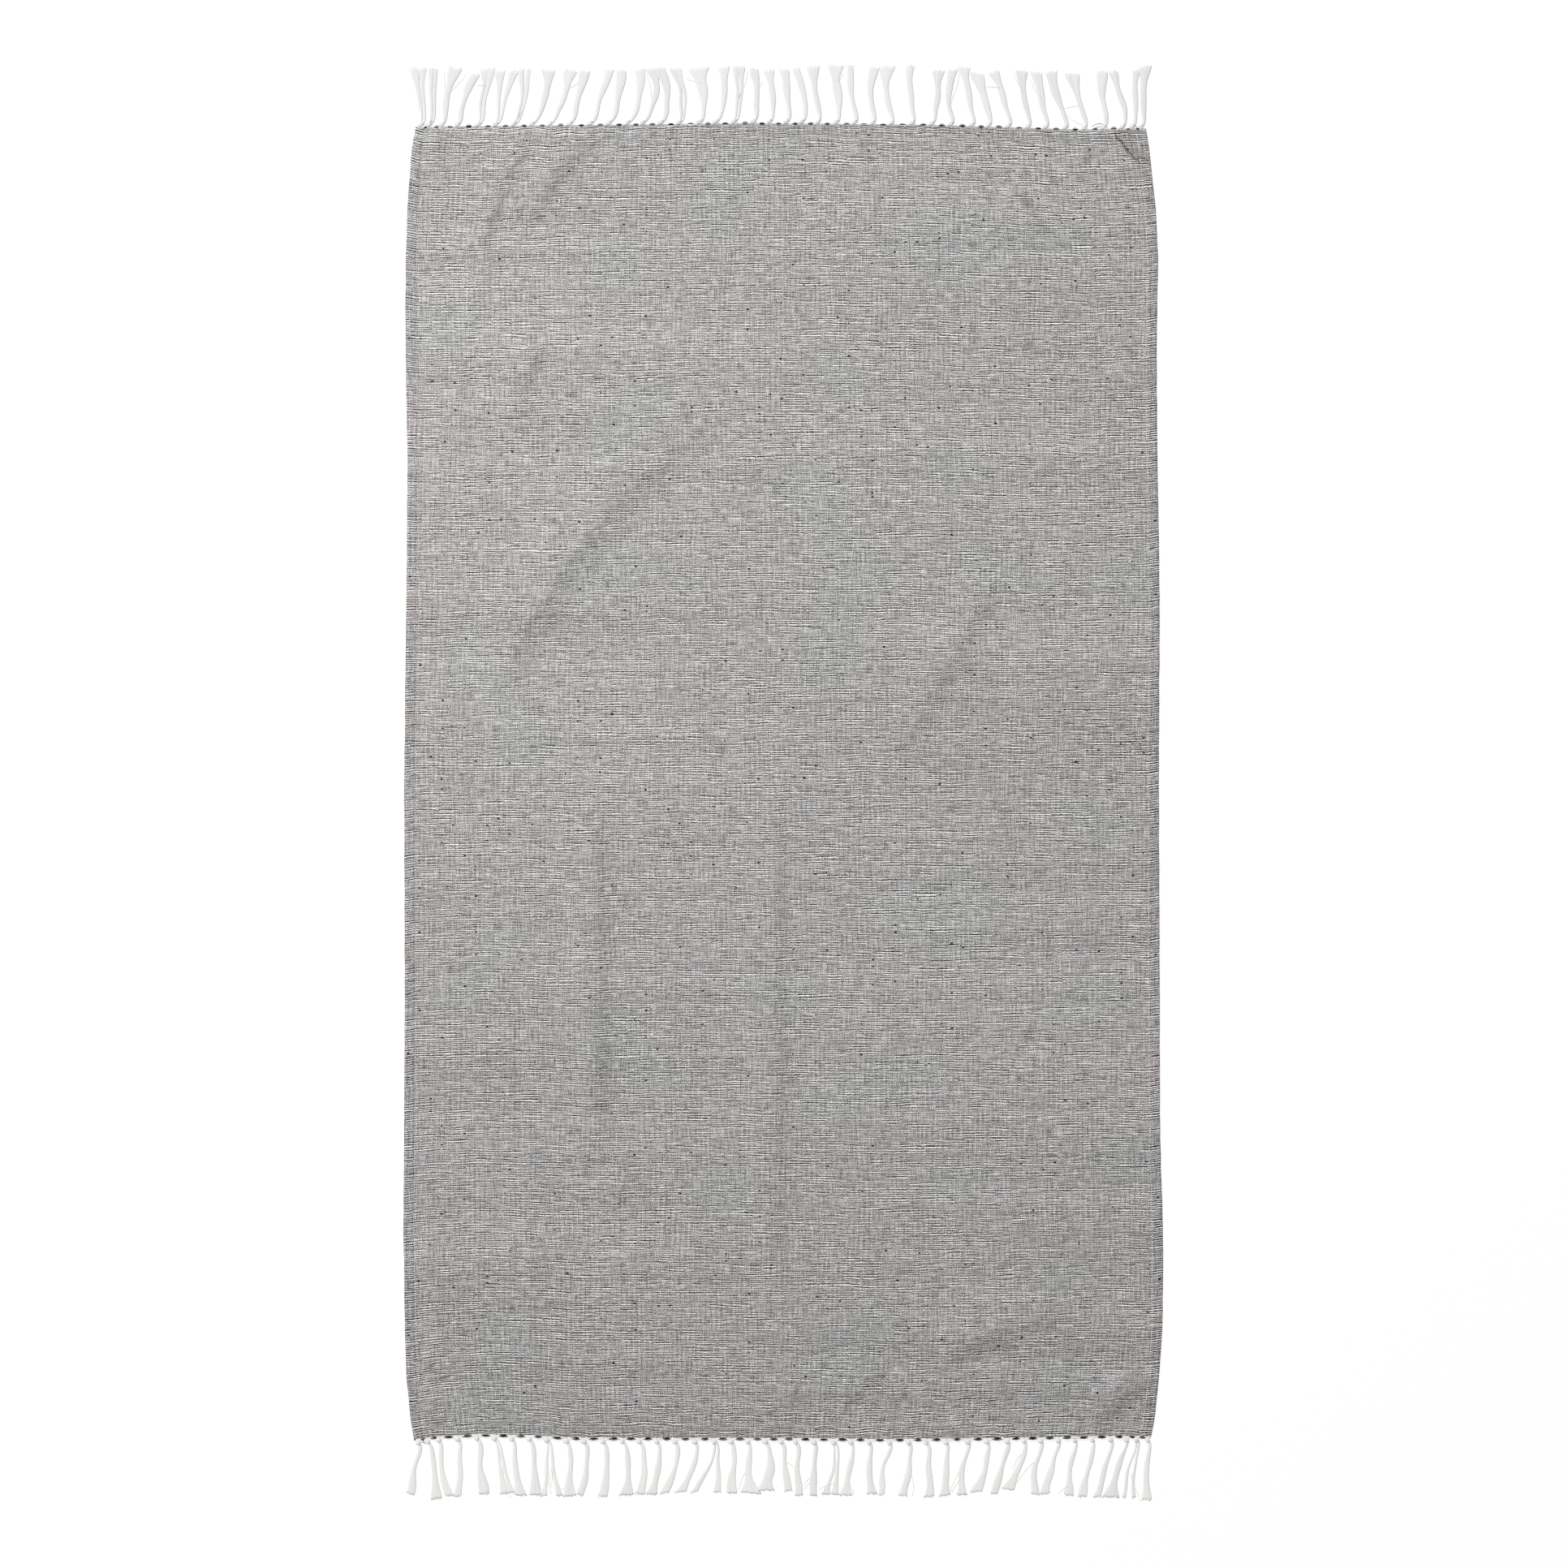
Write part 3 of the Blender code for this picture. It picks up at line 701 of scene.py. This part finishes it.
WEFT_RADIUS = 0.42
WEFT_STEPS = 9
GAP_BOW = 0.4

# The loose picks along a gap: their shares of its bow, how far they stay from the knots, and half their
# width where the gap is wide enough.
LOOSE_SHARES = (0.3, 0.65, 1.0)
LOOSE_SPACE = 4.2
LOOSE_HALF = 5.6


def bend_of(share):
    """How a loose end of weft bows, from 0 at its two ends to 1 in its middle."""
    return np.sin(np.pi * share) ** 0.8


def bowed_weft(heap, end, x, depth, bow, radius, tone):
    """A length of weft that lies on the cloth near an end, bowed outwards past the edge."""
    share = np.linspace(0, 1, WEFT_STEPS)
    route = cloth_place(end, x[0] + (x[1] - x[0]) * share, depth + 0 * share)
    route[:, 1] += end.toward * bow * bend_of(share)
    route[:, 2] += 0.25
    heap.add(route, radius * (0.5 + 0.5 * bend_of(share)), tone)


def slipped_weft(heap, loose):
    """A dark end of weft that has slipped out of the cloth at a corner."""
    share = np.linspace(0, 1, WEFT_STEPS)
    x = loose.x0 + (loose.x1 - loose.x0) * share
    y = loose.y0 + (loose.y1 - loose.y0) * share + loose.bow * bend_of(share)
    route = np.stack([x, y, CLOTH_THICK + 0.3 + 0 * share], -1)
    heap.add(route, WEFT_RADIUS * (0.55 + 0.45 * bend_of(share)), tone=0.05)


def edge_weft(name, end, material):
    """The last dark picks, seen between the parted warp, and the loose ones that bow out past the edge."""
    heap = YarnHeap()
    rng = np.random.default_rng(end.seeds[1])
    knots = column(end.tassels, "knot")
    for left, right in zip(knots, knots[1:]):
        half = (right - left) / 2
        middle = (left + right) / 2 + rng.uniform(-1.3, 1.3)
        scale = rng.uniform(0.7, 1.2) * min(1, half / 10)
        darkness = rng.choice(end.tones)
        for row in end.rows[: rng.integers(end.fewest, len(end.rows) + 1)]:
            reach = row.half * scale * rng.uniform(0.85, 1.15)
            x = middle + rng.uniform(-0.4, 0.4) + np.array([-reach, reach])
            tone = darkness + 0.08 * rng.random()
            bowed_weft(heap, end, x, row.depth, GAP_BOW, row.radius, tone)
        bow = rng.uniform(0.0, end.bow)
        for share in LOOSE_SHARES if end.bow else ():
            reach = min(half - LOOSE_SPACE, LOOSE_HALF) * (1.05 - 0.25 * share)
            x = middle + np.array([-reach, reach])
            tone = rng.uniform(0.55, 0.7) if share == 1 else rng.uniform(0.75, 0.95)
            bowed_weft(heap, end, x, 0.2, bow * share, WEFT_RADIUS, tone)
    for loose in LOOSE_WEFT:
        if loose.y0 * end.toward > 0:
            slipped_weft(heap, loose)
    return heap.make(name, material)


STITCH_PITCH = 4.4
STITCH_LONG = 3.1
STITCH_RADIUS = 0.5
STITCH_LIFTS = (-0.15, 0.3, 0.3, -0.15)


def hem_stitches(name, side, material):
    """The row of stitches that holds a side hem down."""
    heap = YarnHeap()
    rng = np.random.default_rng(11 + side)
    reach = HALF_LENGTH - 3
    share = np.linspace(-0.5, 0.5, len(STITCH_LIFTS))
    for middle in np.arange(-reach, reach, STITCH_PITCH):
        x_cut = side * (HALF_WIDTH - HEM_WIDE + rng.uniform(-0.3, 0.3) + 0.5 * share)
        x, y, _, top = lay(x_cut, middle + STITCH_LONG * share)
        heap.add(np.stack([x, y, top + np.array(STITCH_LIFTS)], -1), STITCH_RADIUS, rng.random())
    return heap.make(name, material)


# ---- Materials -------------------------------------------

# Brightness is given as a level from 0 to 255, as an eye sees it. The surfaces stay between these two.
DARKEST = 30.0
BRIGHTEST = 246.0
EYE_GAMMA = 2.2

# A layer of noise: the size of its cells across and along, how strong it is, and its finer detail.
Layer = namedtuple("Layer", "across along gain detail", defaults=(0,))


def set_inputs(node, values):
    for name, value in values.items():
        node.inputs[name].default_value = value


class Value:
    """A number that may differ from place to place on the surface. Its arithmetic adds nodes."""

    def __init__(self, shader, socket):
        self.shader = shader
        self.socket = socket

    def __add__(self, other):
        return self.shader.math("ADD", self, other)

    def __sub__(self, other):
        return self.shader.math("SUBTRACT", self, other)

    def __rsub__(self, other):
        return self.shader.math("SUBTRACT", other, self)

    def __mul__(self, other):
        return self.shader.math("MULTIPLY", self, other)

    def __truediv__(self, other):
        return self.shader.math("DIVIDE", self, other)

    __radd__ = __add__


class Shader:
    """A cotton material whose nodes are added one call at a time, from values and plain numbers."""

    def __init__(self, name, roughness, sheen):
        self.material = bpy.data.materials.new(name)
        self.material.use_nodes = True
        self.tree = self.material.node_tree
        self.surface = self.tree.nodes["Principled BSDF"]
        set_inputs(self.surface, {"Roughness": roughness, "Specular IOR Level": 0.25})
        set_inputs(self.surface, {"Sheen Weight": sheen, "Sheen Roughness": 0.5})

    def node(self, kind, **settings):
        made = self.tree.nodes.new("ShaderNode" + kind)
        for setting, value in settings.items():
            setattr(made, setting, value)
        return made

    def output(self, node, name=0):
        return Value(self, node.outputs[name])

    def feed(self, socket, value):
        if isinstance(value, Value):
            self.tree.links.new(value.socket, socket)
        else:
            socket.default_value = value

    def math(self, operation, *values):
        made = self.node("Math", operation=operation)
        for socket, value in zip(made.inputs, values):
            self.feed(socket, value)
        return self.output(made)

    def wave(self, turns):
        """A wave from -1 to 1 that repeats with each whole turn."""
        return self.math("SINE", turns * (2 * math.pi))

    def ramp(self, value, low, high, to_low=0.0, to_high=1.0):
        """A soft step: to_low below low, to_high above high."""
        made = self.node("MapRange", interpolation_type="SMOOTHSTEP")
        for socket, number in zip(made.inputs, (value, low, high, to_low, to_high)):
            self.feed(socket, number)
        return self.output(made, "Result")

    def map_places(self, map_name, scale_x, scale_y):
        """The two coordinates of a UV map, scaled."""
        places = self.node("UVMap", uv_map=map_name)
        split = self.node("SeparateXYZ")
        self.feed(split.inputs[0], self.output(places, "UV"))
        return self.output(split, "X") * scale_x, self.output(split, "Y") * scale_y

    def plane(self, x, y):
        joined = self.node("CombineXYZ")
        self.feed(joined.inputs["X"], x)
        self.feed(joined.inputs["Y"], y)
        return self.output(joined)

    def noise(self, x, y, layer):
        """Smooth noise from about -1 to 1, with a layer's cells."""
        made = self.node("TexNoise", noise_dimensions="2D", normalize=False)
        self.feed(made.inputs["Vector"], self.plane(x / layer.across, y / layer.along))
        set_inputs(made, {"Scale": 1.0, "Detail": layer.detail})
        return self.output(made, "Fac")

    def layer(self, x, y, layer):
        return self.noise(x, y, layer) * layer.gain

    def chance(self, x, y):
        """A number from 0 to 1 for each pair of whole numbers, and three more of them."""
        made = self.node("TexWhiteNoise", noise_dimensions="2D")
        self.feed(made.inputs["Vector"], self.plane(x, y))
        return self.output(made, "Value"), self.parts(self.output(made, "Color"))

    def parts(self, colour):
        """The three numbers of a colour."""
        split = self.node("SeparateColor")
        self.feed(split.inputs[0], colour)
        return [Value(self, socket) for socket in split.outputs]

    def paint(self, level, tint):
        """Colours the surface by a level of brightness."""
        shown = self.math("MINIMUM", self.math("MAXIMUM", level, DARKEST), BRIGHTEST)
        light = self.math("POWER", shown / 255.0, EYE_GAMMA)
        colour = self.node("CombineColor")
        for socket, share in zip(colour.inputs, tint):
            self.feed(socket, light * share)
        self.feed(self.surface.inputs["Base Color"], self.output(colour))

    def bump(self, height, distance, strength):
        """Raises the surface's shading by a height, times a distance in millimetres."""
        made = self.node("Bump")
        set_inputs(made, {"Strength": strength, "Distance": distance * MM})
        self.feed(made.inputs["Height"], height)
        self.feed(self.surface.inputs["Normal"], self.output(made))


# Thick picks: how far apart their rows lie, how many rows share their runs, the shortest run, and a seed.
Picks = namedtuple("Picks", "pitch group_size length seed")
COARSE_PICKS = Picks(2.85, 4.0, 16.0, 1.0)
FINE_PICKS = Picks(3.3, 3.0, 12.0, 2.0)
FINE_SHARE = 0.5


def weft_runs(shader, x, y, picks):
    """Thick picks in rows. They come and go in runs that neighbouring rows share: (pale lines, dark)."""
    bend = shader.layer(x, y + picks.seed * 50, Layer(75, 9, 0.5))
    rows = y / picks.pitch + bend + shader.layer(x, y, Layer(4, 5, 0.11))
    row = shader.math("FLOOR", rows)
    group = shader.math("FLOOR", row / picks.group_size)
    group_luck, _ = shader.chance(group, picks.seed)
    row_luck, _ = shader.chance(row, picks.seed)
    stretch = picks.length + group_luck * (1.6 * picks.length)
    shift = group_luck * 37.0 + row_luck * 0.5
    place = x / stretch + shift
    run = shader.math("FLOOR", place)
    ends = shader.ramp(shader.math("PINGPONG", place, 0.5), 0.0, 0.13)
    shared, _ = shader.chance(run, group + picks.seed)
    _, (own, strong, aside) = shader.chance(run, row + picks.seed)
    here = shader.ramp(shared + own * 0.7, 0.5, 0.9, to_low=0.22)
    strength = here * ends * shader.ramp(strong, 0.0, 1.0, to_low=0.45)
    wave = shader.wave(rows - row + aside * 0.2)
    pale = shader.math("POWER", shader.math("MAXIMUM", wave, 0.0), 0.9)
    dark = shader.math("POWER", shader.math("MAXIMUM", wave * -1.0, 0.0), 0.9)
    return pale * strength, dark * strength


# The painted shade of a sharp crease, too narrow for the mesh: where it starts and ends on the flat cut,
# how far its middle bends, half its width, and how much darker its painted shade is.
Crease = namedtuple("Crease", "x0 y0 x1 y1 bend wide dark")
CREASE = Crease(453, 862, 483, 819, -1.5, 2.6, 48)


def sharp_crease_shade(shader, x, y, crease):
    """How much of the sharp crease's painted shade falls here: 0 away from it, 1 along its middle."""
    length = math.hypot(crease.x1 - crease.x0, crease.y1 - crease.y0)
    run_x, run_y = (crease.x1 - crease.x0) / length, (crease.y1 - crease.y0) / length
    from_x, from_y = x + -crease.x0, y + -crease.y0
    along = from_x * (run_x / length) + from_y * (run_y / length)
    bend = along * (1.0 - along) * (4 * crease.bend)
    aside = from_x * -run_y + from_y * run_x - bend + shader.layer(x, y, Layer(9, 9, 1.8))
    near = shader.ramp(shader.math("ABSOLUTE", aside), 0.2 * crease.wide, crease.wide, 1.0, 0.0)
    ends = shader.ramp(along, 0.0, 0.25) * shader.ramp(along, 0.8, 1.0, 1.0, 0.0)
    return near * ends


# The cotton's mean level, and what its threads add or take.
LEVEL = 159.4
PICKS = Layer(12, 1.3, 26.0)
WARP = Layer(1.4, 18, 28.0)
GRAIN = Layer(1.3, 1.0, 60.0, 1.0)
STREAKS = Layer(12, 250, 4.0)
RIBS = Layer(24, 4.2, 13.0)
WIDE_BANDS = Layer(900, 30, 6.0)
NARROW_BANDS = Layer(500, 8, 6.0)
PALE_GAIN = 88.0
DARK_GAIN = 100.0
BEAD_LEVEL = 0.85
BEADS = Layer(2.4, 2.8, 0.55)

# The marks of the reed along the warp, and the slow swell of the beaten weft: how far apart they are, how
# they bend, the patches in which they come and go, and what they add to the level.
Marks = namedtuple("Marks", "pitch bend patches gain")
REED = Marks(6.65, Layer(90, 160, 0.6), Layer(30, 60, 0.8), 9.0)
SWELL = Marks(9.5, Layer(34, 15, 1.1), Layer(16, 12, 0.9), 9.0)
PATCH_LEVEL = 0.6

# Neps: little dark knots in the yarn, in a few of the cells of a grid. Their size is in cells.
NEPS = Layer(15, 10, 120.0)
NEP_SIZE = 0.13

# The hems are two layers thick: their dark weft shows more, and they let less light through.
HEM_LINE = HALF_WIDTH - HEM_WIDE
HEM_CONTRAST = 0.35
HEM_SHADE = 3.0

# Painted light fall-off: the tone drifts across and along the towel, and is darker towards both ends and at
# two of the corners. Painted shade also darkens it just at the ends.
PAINTED_FALLOFF_ACROSS = 0.006
PAINTED_FALLOFF_ALONG = 0.006
PAINTED_FALLOFF_BOW = 2.9
PAINTED_FALLOFF_TWIST = 2.2
END_SHADE = 5.0
END_SHADE_DEPTH = 22.0

COTTON_TINT = (1.026, 1.0, 0.981)
RED_DRIFT = Layer(150, 110, 0.035)
BLUE_DRIFT = Layer(45, 14, 0.014)


def slub_cotton():
    """White warp crossed by pale and dark slub weft."""
    shader = Shader("slub_cotton", roughness=0.93, sheen=0.06)
    x, y = shader.map_places(CUT_MAP, 1 / MM, 1 / MM)
    picks = shader.noise(x, y, PICKS)
    grain = shader.noise(x, y, GRAIN)
    level = LEVEL + picks * PICKS.gain + grain * GRAIN.gain
    for layer in (WARP, STREAKS, RIBS, WIDE_BANDS, NARROW_BANDS):
        level = level + shader.layer(x, y, layer)

    pale_a, dark_a = weft_runs(shader, x, y, COARSE_PICKS)
    pale_b, dark_b = weft_runs(shader, x, y, FINE_PICKS)
    bead = BEAD_LEVEL + shader.layer(x, y, BEADS)
    hem = shader.ramp(shader.math("ABSOLUTE", x), HEM_LINE - 0.5, HEM_LINE + 0.5)
    level = level + (pale_a + pale_b * FINE_SHARE) * bead * PALE_GAIN
    level = level - (dark_a + dark_b * FINE_SHARE) * bead * (1.0 + hem * HEM_CONTRAST) * DARK_GAIN

    for place, marks in ((x, REED), (y, SWELL)):
        wave = shader.wave(place / marks.pitch + shader.layer(x, y, marks.bend))
        level = level + wave * (PATCH_LEVEL + shader.layer(x, y, marks.patches)) * marks.gain

    cells = shader.node("TexVoronoi", voronoi_dimensions="2D", feature="F1")
    shader.feed(cells.inputs["Vector"], shader.plane(x / NEPS.across, y / NEPS.along))
    set_inputs(cells, {"Scale": 1.0})
    luck = shader.parts(shader.output(cells, "Color"))[0]
    size = shader.ramp(luck, 0.9, 1.0, 0.0, NEP_SIZE)
    nep = shader.ramp(size - shader.output(cells, "Distance"), -0.02, 0.03)
    level = level - nep * NEPS.gain

    across, along = x / HALF_WIDTH, y / HALF_LENGTH
    # Painted light fall-off: paler towards the upper left, darker towards both ends and at two corners.
    painted_falloff = y * PAINTED_FALLOFF_ALONG - x * PAINTED_FALLOFF_ACROSS - along * along * PAINTED_FALLOFF_BOW - across * along * PAINTED_FALLOFF_TWIST
    end_gap = HALF_LENGTH - shader.math("ABSOLUTE", y)
    near_end = shader.math("POWER", math.e, end_gap / -END_SHADE_DEPTH)
    # Painted shade along the folds' creases, read from the cloth's attribute.
    pressed = shader.output(shader.node("Attribute", attribute_name=PAINTED_SHADE_ATTRIBUTE), "Fac")
    level = level + painted_falloff - hem * HEM_SHADE - near_end * END_SHADE - pressed
    # Painted shade of the sharp crease.
    level = level - sharp_crease_shade(shader, x, y, CREASE) * CREASE.dark

    red, green, blue = COTTON_TINT
    red, blue = red + shader.layer(x, y, RED_DRIFT), blue + shader.layer(x, y, BLUE_DRIFT)
    shader.paint(level, (red, green, blue))
    shader.bump(pale_a + pale_b * 0.8 + picks * 0.4 + grain * 0.3, distance=0.35, strength=0.3)
    return shader.material


# The yarns: the levels of the darkest and the palest tone, the tint and the sheen.
Yarn = namedtuple("Yarn", "name darkest palest tint sheen")
TOP_YARN = Yarn("fringe_yarn_top", 210.0, 228.0, (1.0, 1.0, 0.993), 0.1)
# Painted light: the bottom fringe's yarn is painted paler than the top's to make up for the weaker light at
# the bottom.
BOTTOM_YARN = Yarn("fringe_yarn_bottom", 221.0, 239.0, (1.0, 1.0, 0.975), 0.1)
DARK_WEFT = Yarn("dark_weft", 22.0, 205.0, (1.03, 1.0, 0.97), 0.05)
HEM_THREAD = Yarn("hem_thread", 205.0, 225.0, (1.0, 1.0, 0.985), 0.1)
TWIST_PITCH = 2.6
PLY_GAIN = 0.6
FIBRES = Layer(0.35, 1.8, 2.0, 1.0)
YARN_SLUBS = Layer(0.37, 9.0, 1.5)


def yarn_material(yarn):
    """Twisted yarn. The strips of its chart run from the darkest tone to the palest."""
    shader = Shader(yarn.name, roughness=0.9, sheen=yarn.sheen)
    strip, length = shader.map_places(BAKE_MAP, YARN_TONES, CHART_LENGTH)
    number = shader.math("FLOOR", strip)
    ply = shader.wave(length / TWIST_PITCH + (strip - number))
    fibre = shader.noise(strip, length, FIBRES)
    tone = yarn.darkest + number * ((yarn.palest - yarn.darkest) / YARN_TONES)
    slub = shader.layer(number, length, YARN_SLUBS)
    shader.paint(tone + ply * PLY_GAIN + fibre * FIBRES.gain + slub, yarn.tint)
    shader.bump(ply * 0.3 + fibre, distance=0.1, strength=0.12)
    return shader.material


# ---- Floor, light and camera, in metres ------------------

WHITE = (1, 1, 1, 1)
FLOOR_HALF = 150.0
FLOOR_GAP = 0.0002
WINDOW_PLACE = (-4.9, 6.3, 8.9)

# The camera's place, and how much of the floor it sees.
CAMERA_PLACE = (0.00107, 0.00053, 10.0)
FIELD = 2.0663


def make_floor():
    """A plain pale floor."""
    corners = [(-1, -1), (1, -1), (1, 1), (-1, 1)]
    points = [(x * FLOOR_HALF, y * FLOOR_HALF, -FLOOR_GAP) for x, y in corners]
    mesh = bpy.data.meshes.new("floor")
    mesh.from_pydata(points, [], [(0, 1, 2, 3)])
    material = bpy.data.materials.new("pale_floor")
    material.use_nodes = True
    surface = material.node_tree.nodes["Principled BSDF"]
    set_inputs(surface, {"Base Color": (0.265, 0.265, 0.265, 1), "Roughness": 0.9})
    set_inputs(surface, {"Specular IOR Level": 0.1, "Emission Color": WHITE, "Emission Strength": 0.75})
    mesh.materials.append(material)
    floor = bpy.data.objects.new("floor", mesh)
    bpy.context.scene.collection.objects.link(floor)


def make_light():
    """Soft daylight from the upper left over an even fill, in a white studio."""
    lamp = bpy.data.lights.new("window", "AREA")
    lamp.energy = 1150.0
    lamp.size = 5.0
    window = bpy.data.objects.new("window", lamp)
    window.location = WINDOW_PLACE
    window.rotation_euler = (-Vector(WINDOW_PLACE)).to_track_quat("-Z", "Y").to_euler()
    bpy.context.scene.collection.objects.link(window)

    world = bpy.data.worlds.new("studio")
    world.use_nodes = True
    tree = world.node_tree
    fill = tree.nodes["Background"]
    set_inputs(fill, {"Color": WHITE, "Strength": 0.45})
    wall = tree.nodes.new("ShaderNodeBackground")
    set_inputs(wall, {"Color": WHITE})
    rays = tree.nodes.new("ShaderNodeLightPath")
    mixed = tree.nodes.new("ShaderNodeMixShader")
    tree.links.new(rays.outputs["Is Camera Ray"], mixed.inputs["Fac"])
    tree.links.new(fill.outputs[0], mixed.inputs[1])
    tree.links.new(wall.outputs[0], mixed.inputs[2])
    tree.links.new(mixed.outputs[0], tree.nodes["World Output"].inputs["Surface"])
    bpy.context.scene.world = world


def make_camera():
    """Straight above the towel, framing it as the photograph does."""
    lens = bpy.data.cameras.new("overhead")
    lens.lens = lens.sensor_width * CAMERA_PLACE[2] / FIELD
    lens.clip_end = 1000.0
    camera = bpy.data.objects.new("overhead", lens)
    camera.location = CAMERA_PLACE
    scene = bpy.context.scene
    scene.collection.objects.link(camera)
    scene.camera = camera
    scene.view_settings.view_transform = "Standard"
    scene.cycles.use_denoising = False
    scene.cycles.filter_width = 1.25


make_camera()
make_light()
make_floor()
cloth = weave_cloth(slub_cotton())
top = make_fringe("top_tassels", "fringe_top", TOP, yarn_material(TOP_YARN))
bottom = make_fringe("bottom_tassels", "fringe_bottom", BOTTOM, yarn_material(BOTTOM_YARN))
dark_yarn, thread = yarn_material(DARK_WEFT), yarn_material(HEM_THREAD)
trim = [
    edge_weft("top_weft_ends", TOP, dark_yarn),
    edge_weft("bottom_weft_ends", BOTTOM, dark_yarn),
    hem_stitches("left_hem_stitches", -1, thread),
    hem_stitches("right_hem_stitches", 1, thread),
]
